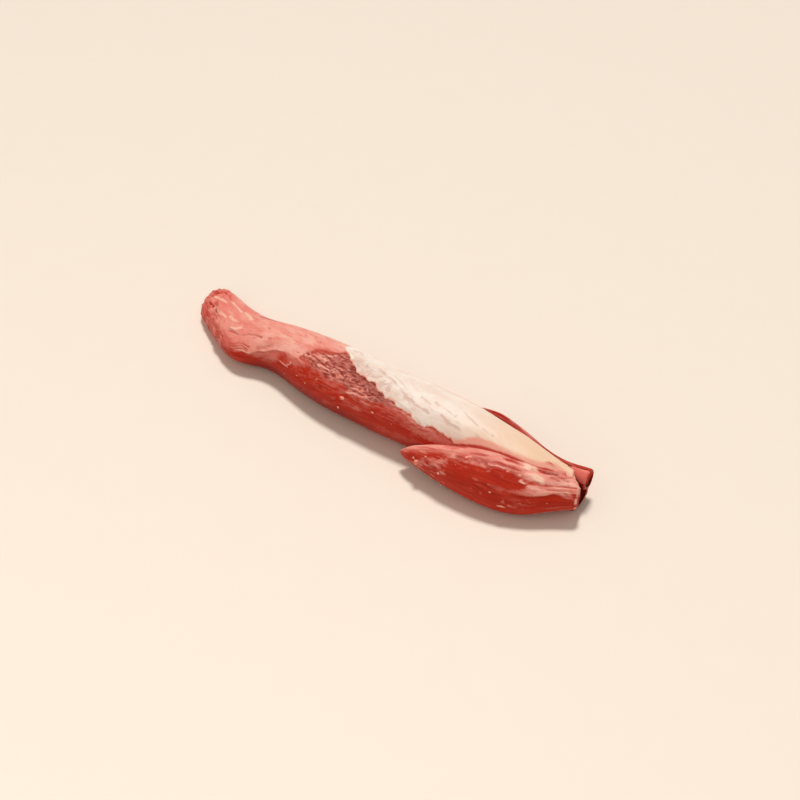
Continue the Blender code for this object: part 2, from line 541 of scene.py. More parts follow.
def coverMuscle(name, muscle, rows, height, masks, material):
    # the muscle's surface, raised by the height along its normals and kept above the floor
    x, angle, inset, scale, isFace = rows
    points = onMuscle(muscle["stations"], x, angle, inset, scale, muscle)
    height = height * (1 - isFace) * ramp(0, muscle["floorEase"], points[..., 2])
    raised = points + outwardNormals(points) * height[..., None]
    raised[..., 2] = np.maximum(raised[..., 2], 0)
    masks = {key: np.clip(mask, 0, 1) for key, mask in masks.items()}
    return closedTube(name, raised, masks, fibreSpace(x, angle, muscle["skinRadius"] * scale), material)


def makeCutEnd(name, muscle, material):
    # a thin lens over a muscle's cut face: from a pole inside the muscle out to the rounded rim, and
    # back over the face to its middle, pushed out by lumpy noise
    inner, outer = butt["lensRows"]
    share = np.concatenate([np.sin(np.linspace(0, math.pi / 2, inner)), np.linspace(1, 0, outer)[1:]])
    deep = np.concatenate([np.linspace(*butt["lensBack"], inner), np.full(outer - 1, butt["past"])])
    angle = np.linspace(-180, 180, butt["lensColumns"] + 1)[:-1]
    grid = np.zeros((len(share), len(angle)))
    x, scale, angle = grid + muscle["cutX"] + deep[:, None], grid + share[:, None], grid + angle
    points = onMuscle(muscle["stations"], x, angle, butt["rim"] + butt["lensGap"], scale, muscle)
    lumps = butt["lumps"] * layeredNoise(points, butt["lumpSize"], 301) * ramp(0, 0.4, 1 - scale)
    points[..., 0] += (x > muscle["cutX"]) * (butt["lensLift"] + lumps)
    # painted light: the cut face is painted pink towards its top, where the light from above falls
    level = points[..., 2] + butt["paintedLightWander"] * softNoise(points, butt["lumpSize"], 304)
    pink = muscle["paintedFaceLight"] * ramp(*butt["paintedLightFrom"], level)
    return closedTube(name, points, dict(pink=pink), points, material)


# the fillet

tail = dict(
    # where the pink film over the fillet ends towards the front, as (x, angle)
    filmEdge=[(-270, 150), (-232, 125), (-215, 104), (-200, 86), (-188, 72), (-178, 68), (-167, 63),
              (-157, 66), (-150, 60), (-145, 56), (-135, 53), (-129, 46), (-116, 35), (-94, 36), (-90, 16),
              (-80, 0), (-54, -12), (-40, -40), (280, -60)],
    # middle and reach, in x and angle: its pitted part near the tip, and the swelling at its bend
    pitted=((-240, 32), (13, 15)), swelling=((-168, 84), (18, 20)),
    # spots of greyish film, also as middle and reach
    greyFilm=[((-233, 6), (9, 9)), ((-204, -12), (14, 9)), ((-186, -4), (16, 12)), ((-226, -26), (9, 7))],
    marks=dict(
        # a crease where its upper side folds down to the front
        folds=(-1.4, 2.0, 1.2, [
            [(-197, 34), (-189, 30), (-181, 30), (-175, 29), (-170, 22), (-163, 20), (-153, 23)]]),
        # thin torn layers below it
        layers=(-1.0, 0.75, 0.5, [
            [(-188, 58), (-179, 52), (-175, 46), (-168, 45), (-161, 51)],
            [(-186, 63), (-176, 56), (-170, 50), (-161, 57)],
            [(-182, 68), (-173, 60), (-167, 56), (-160, 62)]]),
        slits=(-1.2, 0.8, 0.5, [
            [(-144, 23), (-140, 23)], [(-155, -6), (-152, -4)], [(-198, 30), (-195, 29)]]),
        farSpot=(-1.2, 3.0, 1.2, [[(-178, -44), (-170, -47), (-160, -47)]]),
        purple=(-0.7, 3.6, 3, [[(-149, 48), (-146, 45), (-139, 41), (-134, 36)]]),
        # a red line across the tip's top, and whitish strands
        redLine=(-0.8, 1.7, 1.2, [[(-254, -6), (-249, -20), (-245, -32), (-236, -33), (-229, -24)]]),
        strands=(0.6, 2.1, 1.2, [
            [(-249, 2), (-244, -1), (-236, -4), (-227, -8), (-225, -16)],
            [(-222, -21), (-213, -20), (-203, -18)], [(-198, -23), (-190, -20), (-182, -15)],
            [(-210, 12), (-208, 10), (-200, 8), (-192, 5), (-186, 6)],
            [(-197, 28), (-189, 21), (-184, 14)], [(-231, 26), (-222, 22), (-214, 20)]]),
        # a painted highlight streak on the film, and light nicks on the red front
        glare=(0, 3.4, 1.2, [[(-131, 9), (-123, 9), (-112, 11)]]),
        nicks=(0.5, 0.8, 0.4, [[(-116, 61), (-109, 63), (-102, 63)], [(-104, 60), (-99, 54)]]),
    ),
)

patch = dict(
    # the dry purplish patch: its upper and lower edges, as (x, angle)
    upper=[(-112, 26), (-104, 18), (-91, 12), (-74, 4), (-54, -10), (-41, -25), (80, -25)],
    lower=[(-112, 24), (-104, 29), (-91, 34), (-74, 38), (-54, 42), (-35, 43), (-14, 46), (7, 50), (24, 48),
           (36, 40), (60, 34)],
    startX=-113, endX=58,
    # torn layers along its lower edge
    marks=dict(tears=(0.8, 1.2, 1.6, [
        [(-67, 27), (-53, 27), (-39, 31), (-25, 29)], [(-44, 20), (-36, 22), (-28, 24)],
        [(-40, 38), (-32, 30), (-22, 28)], [(-27, 43), (-14, 48), (0, 44)], [(-22, 36), (-10, 38), (2, 38)],
        [(2, 52), (12, 54), (20, 53), (28, 43), (28, 36)], [(34, 46), (42, 47), (48, 40)],
        [(0, 46), (10, 42), (20, 34)], [(-86, 38), (-78, 44), (-72, 46)], [(-96, 36), (-88, 42), (-82, 46)],
    ])),
)

fillet = dict(
    # x, y of the middle, height of the top, half width
    profile=[
        (-270, 45, 18, 14), (-256, 40, 26, 24), (-230, 29, 32, 28), (-199, 12, 35, 34), (-172, 8, 38, 38),
        (-142, 15, 44, 32), (-113, 14, 48, 34), (-63, 7, 54, 42), (-13, 5, 58, 43), (50, 1, 60, 41),
        (112, 4, 62, 38), (172, 0, 58, 34), (222, -4, 50, 30), (250, 4, 41, 20), (289, 6, 37, 17),
    ],
    sink=0.45,              # height of a section's middle, as a share of its top
    tipX=-269, domeLength=14, domeRows=14, bluntness=0.8, cutX=265, dish=3,
    bevel=((-180, -55, -38, -21, -12, 6, 20, 180), (0, 0, 8, 14, 12, 7, 1, 0)),
    rows=520, columns=176, faceRows=12, skinRadius=36, floorEase=7,
    paintedFaceLight=0.85,          # how pink the top of its cut face is painted, as painted light
    # lumps: height in mm, size in mm, seed, stretch
    lumps=[(1.2, 50, 1, 1), (0.6, 20, 2, 1.5)],
    fibres=0.3, fineFibres=0.16,
    noise=dict(
        wander=(9, 11, 1.6, 3), bundles=(4.5, 3, 8, 1, (3, 14, 91)), fine=(2.2, 4, 7), filmEdge=(6, 18, 2),
        lip=(7, 13, 2), folds=(9, 14, 1.5), strands=(5, 16), glare=(3.5, 22, 2),
        grain=(5.5, 31, 1, 3, (2, 7, 33)), pits=(3.2, 37, 1.3, 1, (1.5, 5, 36)),
        flecks=(1.9, 24, 4.6, 1, (3.5, 8, 94)), smallFlecks=(1.14, 25, 2, 1, (2, 5, 97)),
        tears=(6, 26, 1.5), apron=(4, 354, 3, 1, (4, 9, 351)), threads=(1.9, 184, 2.4, 1, (2, 6, 181)),
        seeThrough=(13, 12, 2, 3, (4, 10, 19)), rosy=(9, 344, 1.4, 3, (4, 9, 341)),
        back=(7, 364, 5, 1, (5, 18, 361)), haze=(17, 21, 2.8, 1, (8, 25, 85)),
    ),
    marks={**tail["marks"], **patch["marks"]},
)
fillet["stations"] = [(x, y, fillet["sink"] * top, halfWidth, (1 - fillet["sink"]) * top, 0)
                      for x, y, top, halfWidth in fillet["profile"]]

silverskin = dict(
    # front edge as (x, angle): ragged at first, then it runs under the side muscle
    frontEdge=[(-58, -31), (-52, -22), (-46, -17), (-40, -11), (-33, -6), (-29, 3), (-24, 5), (-18, 11),
               (-8, 13), (2, 15), (10, 15), (15, 22), (20, 25), (30, 30), (40, 32), (52, 36), (64, 41),
               (73, 47), (82, 50), (100, 48), (117, 53), (135, 62), (200, 66), (264, 66)],
    backEdge=[(-58, -34), (-54, -46), (-46, -60), (-30, -72), (0, -84), (60, -92), (120, -94), (150, -84),
              (182, -64), (217, -54), (264, -48)],
    toothLength=6, toothDepth=3.2,
    startX=-58, rows=430, columns=100,
    # x of its end at angle -10, mm further on for each degree, and the degrees that it spans
    endX=253, endSlant=0.26, endSpan=(-20, 35),
    lift=0.5, thickness=0.6,
    # where its white gives way to pink on the way to the side muscle, as (x, angle)
    whiteEdge=[(100, 52), (117, 52), (130, 47), (145, 33), (162, 26), (180, 24), (198, 20), (215, 13),
               (224, 2), (233, -3), (246, 5), (257, 12)],
    # where it goes down beside the side muscle, as (x, angle)
    sideCrease=[(86, 91), (110, 69), (132, 53), (153, 39), (171, 33), (191, 26), (211, 23), (227, 20),
                (238, 14), (258, 10)],
    redBump=((227, -2), (6, 7)),
    step=[(57, -42), (70, -6), (76, 13)], stepWidth=1.6,    # a faint fold across it
    fibreTurn=0.45,         # its own fibres run aslant: mm across for each mm along
    noise=dict(puckers=(6, 52, 1.2, 2, (4, 9, 55)), clouds=(16, 53, 2, 1, (6, 20, 58)), white=(10, 54, 3)),
    aslantNoise=dict(fibres=(5, 57, 5, 2), streaks=(4, 374, 3)),
    marks=dict(
        wrinkles=(-0.7, 1.0, 1.2, [
            [(-14, 9), (-13, 3)], [(-24, -4), (-20, -1)], [(-10, 8), (-8, 2), (-5, -3)], [(-5, 9), (-3, 3)],
            [(1, 6), (6, 5), (10, -2)], [(14, 14), (20, 10), (25, 3)], [(-30, -8), (-24, -12)]]),
        greyStreaks=(-0.3, 1.7, 1.4, [
            [(62, -32), (70, -16), (78, -4)], [(56, 14), (70, 22), (84, 27)], [(84, 2), (100, 10), (112, 12)],
            [(98, 22), (112, 30), (126, 31)], [(38, 8), (50, 16), (60, 18)], [(118, -2), (140, 8), (160, 12)],
            [(66, 4), (80, 8), (92, 6)], [(8, -10), (22, -6), (34, 2)]]),
    ),
)


def silverskinGap(x, angle, perDegree):
    # how far inside the silverskin's edges a place on the fillet is, in mm
    front = (alongEdge(silverskin["frontEdge"], x) - angle) * perDegree
    back = (angle - alongEdge(silverskin["backEdge"], x)) * perDegree
    end = silverskin["endX"] + silverskin["endSlant"] * (angle + 10) - x
    return np.minimum(np.minimum(front, back), np.minimum(end, x - silverskin["startX"]))


def filletLumps(points):
    return sum(high * softNoise(points, size, seed, stretch) for high, size, seed, stretch in fillet["lumps"])


def filmCover(x, angle, perDegree, noise):
    # the thin pink film, whose front edge is soft on the tail, and the thicker lip along that edge
    inside = (alongEdge(tail["filmEdge"], x) - angle) * perDegree + 2.5 * noise["wander"]
    edge = 12 - 9.5 * ramp(-195, -165, x) + 4 * ramp(-122, -104, x)
    film = ramp(-edge, 0.7 * edge, inside + 2 * noise["filmEdge"]) * ramp(-170, -140, angle)
    lip = np.exp(-((inside - 1.2) / 1.3) ** 2) * plateau(-188, -178, -96, -86, x)
    return film, lip


def tailGrain(x, angle, noise):
    # where the tail's rim and tip are grainy, the pits beside the tip, and small light flecks
    rim = ramp(-206, -226, x) * ramp(4, 26, angle + 0.9 * (-x - 236))
    rim = np.maximum(rim, ramp(-186, -205, x) * ramp(40, 60, angle))
    rim = np.maximum(rim, ramp(-236, -246, x) * ramp(-6, -18, angle))
    pitted = spot(x, angle, *tail["pitted"])
    pits = ramp(-0.05, -0.5, noise["pits"]) * pitted
    flecks = ramp(0.15, 0.5, noise["pits"]) * (0.5 * rim + 0.4 * pitted)
    return rim, pits, flecks


def dryPatch(x, angle, perDegree, outside, noise):
    # the dry patch, its grain, its deep part beside the silverskin, the bits of film left on it, the
    # hollows between them, and a fringe of film along its lower edge
    above = (angle - alongEdge(patch["upper"], x)) * perDegree + 6 * noise["wander"]
    below = (alongEdge(patch["lower"], x) - angle) * perDegree + 5 * noise["wander"]
    bruise = ramp(-8, 9, above) * ramp(-8, 9, below)
    bruise = bruise * ramp(patch["startX"], patch["startX"] + 16, x)
    bruise = bruise * ramp(patch["endX"], patch["endX"] - 30, x)
    grain = noise["flecks"] + 0.5 * noise["smallFlecks"]
    bare = 0.34 - 0.36 * ramp(-35, -85, x) * ramp(40, 14, angle)
    deep = bruise * ramp(-75, -10, x) * ramp(16, 2, outside)
    bits = bruise * ramp(bare, bare + 0.34, grain) * (1 - 0.75 * deep)
    hollow = bruise * ramp(0.15, 0.7, -grain)
    fringe = plateau(-15, -3, -4, 2, below) * ramp(-80, -60, x)
    fringe = fringe * ramp(60, 35, x) * (0.6 + 0.6 * noise["apron"])
    return bruise, grain, deep, bits, hollow, fringe


def tornThreads(x, angle, outside, noise):
    # pink torn threads on the meat just below the silverskin's ragged edge
    threads = plateau(-1, 1, 2, 9, outside) * ramp(-12, 10, x)
    threads = threads * ramp(112, 90, x) * ramp(0, 20, angle)
    return threads * ramp(0.05, 0.5, noise["threads"] + 0.25 * ramp(5, 1, outside))


def filletRelief(x, angle):
    # the fillet's smooth form, its unevenness in mm, and its masks
    points = onMuscle(fillet["stations"], x, angle)
    perDegree = mmPerDegree(fillet["stations"], x)
    noise = noises(fibreSpace(x, angle, fillet["skinRadius"]), fillet["noise"])
    wander = noise["wander"]
    marks = drawnMarks(points, fillet["stations"], wander, fillet["marks"])
    for name, share in (("folds", 0.6 + 0.4 * noise["folds"]), ("layers", 0.6 + 0.4 * noise["folds"]),
                        ("strands", ramp(-1.0, 0.2, noise["strands"])),
                        ("glare", 0.7 + 0.4 * noise["glare"]), ("tears", ramp(-0.5, 0.4, noise["tears"]))):
        marks[name] = marks[name] * share
    film, lip = filmCover(x, angle, perDegree, noise)
    rim, pits, flecks = tailGrain(x, angle, noise)
    outside = -silverskinGap(x, angle, perDegree)
    bruise, grain, deep, bits, hollow, fringe = dryPatch(x, angle, perDegree, outside, noise)
    threads = tornThreads(x, angle, outside, noise)

    # long fibre bundles, weak on the smooth front, and finer ones everywhere; then the film, the marks,
    # the tail's grain and the patch
    calm = (1 - 0.5 * ramp(45, 70, angle)) * (1 - 0.75 * ramp(-110, -150, x))
    height = filletLumps(points)
    height += calm * (fillet["fibres"] * noise["bundles"] + fillet["fineFibres"] * noise["fine"])
    height += 0.7 * film + 0.5 * lip * (0.6 + 0.8 * noise["lip"]) + 1.8 * spot(x, angle, *tail["swelling"])
    height += markHeight(marks, fillet["marks"]) - 1.3 * pits
    height += rim * (1.1 * noise["grain"] + 0.7 * ramp(0.1, 0.5, noise["grain"]))
    height += 0.4 * noise["grain"] * ramp(-150, -185, x)
    height += bruise * (0.55 * grain - 0.3) + 0.35 * bits + 0.5 * threads

    # under the silverskin the muscle is smooth and a little lower
    covered = ramp(2.5, 5, -outside)
    height = height + covered * (filletLumps(points) - 0.7 - height)

    # painted shade: the marks, the pits and hollows and the underside of the middle are darkened where shade
    # falls; the patch's darker part beside the silverskin is darkened too
    under = 0.65 * ramp(76, 100, angle + 5 * wander) * ramp(-190, -140, x)
    shadedCrease = 0.35 * marks["slits"] + 0.2 * marks["folds"] ** 2 + 0.25 * marks["layers"] + 0.7 * pits
    shadedCrease = shadedCrease + 0.5 * marks["farSpot"] + under * (1 - 0.6 * ramp(-20, 40, x))
    shadedCrease = shadedCrease + 0.3 * hollow * ramp(-110, -30, x) + 0.42 * deep

    # film: thinner in the marks, on the red rim and where meat shows through it, streaky at the back
    redRim = ramp(-160, -188, x) * ramp(34, 62, angle)
    redRim = np.maximum(redRim, 0.8 * ramp(-244, -256, x))
    grainy = np.maximum(0.7 * rim, ramp(-228, -244, x)) * ramp(0.2, -0.4, noise["pits"])
    seeThrough = 0.3 * ramp(0, 0.7, noise["seeThrough"]) * ramp(-120, -150, x)
    film = film * (1 - 0.45 * grainy - seeThrough) * (1 - 0.4 * redRim)
    for name, loss in (("folds", 0.85), ("layers", 0.7), ("purple", 0.45), ("redLine", 0.5)):
        film = film * (1 - loss * marks[name])
    back = ramp(-62, -98, angle + 8 * wander) * ramp(-150, -90, x)
    film = film * (1 - back * (0.35 + 0.6 * ramp(-0.3, 0.35, noise["back"])))
    bare = ramp(246, 251, x) * ramp(30, 14, angle) * ramp(-100, -70, angle)
    # partly painted sheen: a haze of film in soft patches, stronger on the upper front than on the lower
    haze = 0.2 * ramp(80, 60, angle) + 0.14 * ramp(22, 6, outside) * ramp(20, 50, x)
    haze = haze + 0.28 * ramp(0, 0.75, noise["haze"]) + 0.1 * ramp(0.2, 0.7, noise["bundles"])
    for over in (0.62 * bare, 0.8 * bits + 0.85 * marks["tears"], haze * (1 - 0.7 * bruise), 0.55 * threads,
                 0.7 * marks["nicks"], 0.34 * fringe):
        film = np.maximum(film, over)

    # rosier towards the tip
    thin = ramp(-140, -190, x)
    rosy = 0.42 * thin + 0.4 * ramp(-215, -245, x) + 0.35 * redRim + 0.45 * thin * noise["rosy"]

    # light: strands, flecks, the film's lip, a rim line at the cut and the glare streak, a painted highlight
    rimLine = ramp(261.5, 263, x) * plateau(-45, -30, 30, 60, angle)
    cream = 0.55 * marks["strands"] ** 0.7 + 0.45 * flecks + 0.4 * bits * ramp(0.5, 0.9, grain)
    cream = cream + 0.3 * lip + 0.5 * marks["glare"] + 0.25 * marks["nicks"] + 0.1 * threads + 0.4 * rimLine

    # purplish: the patch, a spot on the tail and greyish film
    grey = np.max([0.28 * spot(x, angle, *place) for place in tail["greyFilm"]], axis=0)
    bruise = bruise * (1 - 0.3 * ramp(-60, -95, x)) + 0.45 * marks["purple"] + grey
    return points, height, dict(film=film, cream=cream, shadedCrease=shadedCrease, bruise=bruise, rosy=rosy)


def makeFillet(material):
    rows = muscleRows(fillet)
    _, height, masks = filletRelief(rows[0], rows[1])
    return coverMuscle("filletMuscle", fillet, rows, height, masks, material)


# the silverskin, a thin sheet that follows the fillet

def makeSilverskinSheet(material):
    stations, startX = fillet["stations"], silverskin["startX"]
    along = np.linspace(0, 1, silverskin["rows"])[:, None]
    share = np.linspace(0, 1, silverskin["columns"])[None, :]
    endAngle = np.linspace(*silverskin["endSpan"], silverskin["columns"])
    endX = silverskin["endX"] + silverskin["endSlant"] * endAngle
    x = startX + (endX - startX) * along
    perDegree = mmPerDegree(stations, x)
    edgeLine = np.stack([x, 0 * x, 0 * x], axis=-1)
    tooth = silverskin["toothLength"]
    teeth = layeredNoise(edgeLine, tooth, 51) * ramp(0, 10, x - startX)
    backTeeth = layeredNoise(edgeLine + 70, 2 * tooth, 371) * ramp(0, 20, x - startX)
    front = alongEdge(silverskin["frontEdge"], x) + teeth * silverskin["toothDepth"] / perDegree
    back = alongEdge(silverskin["backEdge"], x) + backTeeth * silverskin["toothDepth"] / perDegree
    angle = back + (front - back) * share
    points, below, _ = filletRelief(x, angle)
    skin = fibreSpace(x, angle, fillet["skinRadius"])
    inside = (front - angle) * perDegree
    edgeGap = np.minimum(np.minimum(inside, (angle - back) * perDegree), np.minimum(x - startX, endX - x))

    # wrinkles gathered near the ragged edge, a faint fold across, streaks that run aslant
    slant = silverskin["fibreTurn"]
    turned = skin @ np.array([[1, -slant, 0], [slant, 1, 0], [0, 0, 1]])
    noise, aslantNoise = noises(skin, silverskin["noise"]), noises(turned, silverskin["aslantNoise"])
    puckers, aslant = noise["puckers"], aslantNoise["fibres"]
    ragged = plateau(-52, -30, 40, 112, x) * ramp(30, 4, inside)
    marks = drawnMarks(points, stations, puckers, silverskin["marks"])
    marks["wrinkles"] = marks["wrinkles"] * ramp(-0.7, 0.2, puckers)
    marks["greyStreaks"] = marks["greyStreaks"] * ramp(-0.6, 0.4, aslantNoise["streaks"])
    step, stepWidth = silverskin["step"], silverskin["stepWidth"]
    fold = pathShade(points + 0.8 * aslant[..., None], stations, [step], stepWidth)
    bump = spot(x, angle, *silverskin["redBump"]) * ramp(-0.9, 0.2, puckers)
    rising = ramp(0, 1.3, edgeGap)
    height = np.maximum(filletLumps(points) + 0.35 + silverskin["lift"] * rising, below + 0.3 * rising)
    height += 0.45 * ragged * puckers + 0.15 * aslant + 0.35 * fold - 0.15 + 1.2 * bump
    height += markHeight(marks, silverskin["marks"])
    shaped = points + outwardNormals(points, wraps=False) * height[..., None]

    # greyish near its front edge, partly for its thinness and partly painted shade where it turns to the
    # front; painted shade in the wrinkles and the puckers' hollows; greyish in the streaks
    greyAndShade = ramp(34, 8, inside) * plateau(-50, -20, 110, 190, x)
    greyAndShade = greyAndShade * (0.62 + 0.38 * noise["clouds"]) + 0.5 * ragged * ramp(0.1, 0.6, -puckers)
    greyAndShade = greyAndShade * (1 - 0.45 * ramp(30, 70, x)) + 0.4 * ramp(0.15, 0.6, aslant) * ramp(60, 20, inside)
    greyAndShade = greyAndShade + 0.8 * marks["wrinkles"] + 0.75 * marks["greyStreaks"]

    # pink towards the side muscle, at its edges and at its far side
    white = (alongEdge(silverskin["whiteEdge"], x) - angle) * perDegree
    farBlush = 0.1 + 0.3 * plateau(20, 60, 120, 160, x)
    pink = ramp(98, 118, x) * ramp(8, -3, white + 3 * noise["white"])
    for over in (0.9 * ramp(3.6, 0.2, edgeGap + 1.2 * puckers),
                 farBlush * ramp(-32, -46, angle + 5 * aslant), bump):
        pink = np.maximum(pink, over)
    shadedCrease = (alongEdge(silverskin["sideCrease"], x) - angle) * perDegree
    red = 0.9 * ramp(2.5, -1, shadedCrease) * ramp(85, 110, x) + 0.6 * bump
    masks = dict(greyAndShade=np.clip(greyAndShade, 0, 1), pink=np.clip(pink, 0, 1), peach=ramp(85, 215, x),
                 red=np.clip(red, 0, 1))
    piece = openSheet("silverskinSheet", shaped, masks, skin, material)
    wall = piece.modifiers.new("wall", "SOLIDIFY")
    wall.thickness = silverskin["thickness"] * mm
    wall.offset = -1
    return piece


# the side muscle

sideMuscle = dict(
    # x, y and z of the middle, half width, half height, lean in degrees
    stations=[
        (68, -50, 21, 3, 3, 10), (80, -48, 22, 8, 8, 16), (102, -44, 24, 16, 15, 22),
        (132, -40, 26, 25, 23, 28), (172, -35, 27, 32, 25, 29), (212, -28, 26, 34, 21, 28),
        (242, -15, 26, 27, 17, 27), (265, -3, 28, 17, 12, 26), (291, 5, 29, 14, 10, 25),
    ],
    tipX=70, domeLength=10, domeRows=12, bluntness=1.0, cutX=267.5, dish=3,
    bevel=((-180, -120, -75, -50, -30, -5, 30, 60, 90, 130, 180), (0, 6, 15, 14, 10, 0, -3, -4, -4, -2, 0)),
    rows=270, columns=150, faceRows=12, skinRadius=27, floorEase=6, paintedFaceLight=0,
    lumps=0.9, lumpSize=40, fibres=0.45, fineFibres=0.2,
    # the lower edge of the pink streaky band along its top, as (x, angle)
    bandEdge=[(70, 30), (84, -5), (96, -10), (122, -14), (140, -16), (157, -16), (172, -15), (188, -14),
              (204, -10), (222, -2), (238, 10), (253, 18), (266, 30)],
    # fat patches: (x, angle), half length, half width in mm
    fatPatches=[((211, -35), 7, 4), ((218, -36), 5, 3), ((227, -12), 9, 4), ((232, -6), 6, 4),
                ((214, 1), 9, 1.6)],
    purpleSpot=((240, -34), (13, 12)),
    noise=dict(
        wander=(8, 61, 3, 3), bundles=(3.6, 63, 9, 1, (2.5, 16, 67)), fine=(1.8, 64, 8),
        sparse=(3.2, 164, 3.5, 1, (4, 10, 161)), torn=(2.2, 65, 4, 1, (3, 8, 68)),
        flap=(4, 168, 2.5, 1, (3, 6, 165)), smudges=(3, 169, 2), haze=(14, 174, 3, 1, (6, 20, 171)),
    ),
    marks=dict(
        flap=(0.7, 5, 0, [[(101, 50), (107, 36), (115, 24), (123, 18), (130, 15)]]),
        smudges=(0.2, 1.5, 2.2, [
            [(121, 31), (129, 38), (136, 40)], [(118, 70), (121, 71)], [(131, 68), (134, 71)],
            [(210, 57), (216, 58), (225, 60)]]),
        strands=(0.5, 2.2, 1.2, [
            [(222, 8), (232, 8), (239, 7), (246, 3), (252, 6), (257, 12), (262, 25), (267, 41)],
            [(234, 16), (246, 13), (254, 20), (262, 34)]]),
        dents=(-1.1, 1.7, 0, [
            [(230, -34), (236, -36), (241, -37)], [(242, -30), (248, -25), (255, -22)],
            [(238, -22), (246, -18)]]),
    ),
)


def fatPatches(points, wander):
    # 1 inside a patch, whose edge the wander breaks up
    cream = np.zeros(points.shape[:2])
    for place, length, width in sideMuscle["fatPatches"]:
        away = points - onPath(sideMuscle["stations"], [place])[0]
        away = np.sqrt((away[..., 0] / length) ** 2 + (away[..., 1] ** 2 + away[..., 2] ** 2) / width ** 2)
        cream = np.maximum(cream, ramp(1.5, 0.4, away + 0.9 * wander))
    return cream


def makeSideMuscle(material):
    rows = muscleRows(sideMuscle)
    x, angle, inset, scale, isFace = rows
    stations = sideMuscle["stations"]
    points = onMuscle(stations, x, angle, inset, scale, sideMuscle)
    noise = noises(fibreSpace(x, angle, sideMuscle["skinRadius"] * scale), sideMuscle["noise"])
    wander, bundles, fine, torn = [noise[key] for key in ("wander", "bundles", "fine", "torn")]

    # fibre bundles, strongest at the top and towards the butt, and finer ones
    bandGap = (alongEdge(sideMuscle["bandEdge"], x) - angle) * mmPerDegree(stations, x) + 3 * wander
    band = ramp(-6, 10, bandGap)
    nearButt = ramp(200, 240, x) * ramp(60, 30, angle)
    rough = np.clip(0.45 + 0.6 * band + nearButt, 0, 1.6)
    height = sideMuscle["lumps"] * softNoise(points, sideMuscle["lumpSize"], 62)
    height += rough * (sideMuscle["fibres"] * bundles + sideMuscle["fineFibres"] * fine)

    # short torn streaks where the band ends, and light bands near the butt
    edge = np.exp(-(bandGap / 4.5) ** 2) * plateau(118, 140, 205, 230, x)
    tornBits = edge * ramp(0.1, 0.5, torn)
    lightBands = nearButt * ramp(34, 22, angle + 3 * wander) * ramp(-16, -4, angle)
    lightBands = lightBands * ramp(-0.15, 0.3, bundles + 0.4 * fine)
    height += 0.5 * tornBits - 0.35 * edge * ramp(0.1, 0.5, -torn) + 0.3 * lightBands

    # fat, a flap of film at the tip, smudges, strands and dents
    cream = fatPatches(points, wander)
    marks = drawnMarks(points, stations, wander, sideMuscle["marks"])
    flap = marks["flap"] = ramp(0.1, 0.6, marks["flap"] * (0.6 + 0.5 * noise["flap"]))
    smudges = marks["smudges"] * ramp(-0.7, 0.3, noise["smudges"])
    smudges = marks["smudges"] = smudges + 0.7 * ramp(0.42, 0.85, noise["sparse"])
    strands = marks["strands"] = marks["strands"] * (0.7 + 0.4 * fine)
    height += 0.5 * cream + markHeight(marks, sideMuscle["marks"])

    # a pale rim where it is cut, and a little fat at its lower corner
    rimLine = ramp(265, 266, x) * (1 - isFace) * ramp(-0.4, 0.4, softNoise(points, 5, 69) + 0.35)
    film = 0.7 * band + 0.65 * lightBands + 0.6 * tornBits + 0.4 * flap + 0.4 * smudges
    film += 0.22 * ramp(0.1, 0.7, bundles) + 0.8 * rimLine + 0.85 * strands
    film += 0.2 * ramp(0, 0.8, noise["haze"])
    film += (0.14 + 0.22 * ramp(40, -10, angle)) * ramp(130, 90, x)
    film -= 0.5 * band * ramp(0.05, 0.6, -bundles) + 0.4 * marks["dents"]
    # painted shade: darker between the torn streaks, in the dents and on the underside
    shadedCrease = 0.25 * edge * ramp(0.15, 0.5, -torn) + 0.16 * marks["dents"]
    shadedCrease = shadedCrease + 0.5 * ramp(95, 130, angle + 5 * wander)
    bruise = 0.7 * marks["dents"] + 0.5 * spot(x, angle, *sideMuscle["purpleSpot"])
    cream = 0.6 * cream + 0.35 * rimLine + 0.12 * smudges + 0.25 * strands
    cream = cream + 0.15 * lightBands * ramp(0.2, 0.7, fine)
    return coverMuscle("sideMuscle", sideMuscle, rows, height * ramp(72, 84, x),
                       dict(film=film, bruise=bruise, cream=cream, shadedCrease=shadedCrease), material)


# the chain, a narrow strip of a few strands behind the butt

chain = dict(
    # x, y and z of the middle, half width, half height, lean in degrees
    stations=[
        (99, 31, 34, 3, 4, 0), (119, 37, 35, 5, 8, 0), (147, 39, 33, 7, 11, 0), (182, 28, 33, 7, 11, 0),
        (217, 17, 33, 6, 10, 0), (243, 15, 31, 8, 11, 0), (264, 19, 29, 12, 13, 0), (289, 20, 28, 12, 12, 0),
    ],
    tipX=100, domeLength=5, domeRows=8, bluntness=0.9, cutX=266.5, dish=1,
    bevel=((-180, 180), (0, 0)),
    rows=230, columns=72, faceRows=8, skinRadius=10, floorEase=6, paintedFaceLight=0.8,
    lumps=0.7, lumpSize=18, strandHeight=0.4,
    # beyond this angle it is painted with the groove's shade, as (x, angle)
    innerEdge=[(100, 20), (150, 26), (190, 14), (225, 0), (240, 22), (252, 60)],
    topWidth=36,            # degrees from that edge to the middle of its filmy top, which is partly painted light
    noise=dict(wander=(6, 71, 2.5, 3), strands=(2.6, 72, 8)),
    # gaps between its strands
    marks=dict(gaps=(-1.8, 0.9, 0.9, [
        [(222, 30), (236, 16), (246, 4), (256, -3), (266, -10)], [(232, 52), (240, 44), (247, 42)],
        [(112, 6), (140, -8), (170, -4), (200, -22), (232, -20)], [(150, -50), (190, -58), (230, -48)]])),
)


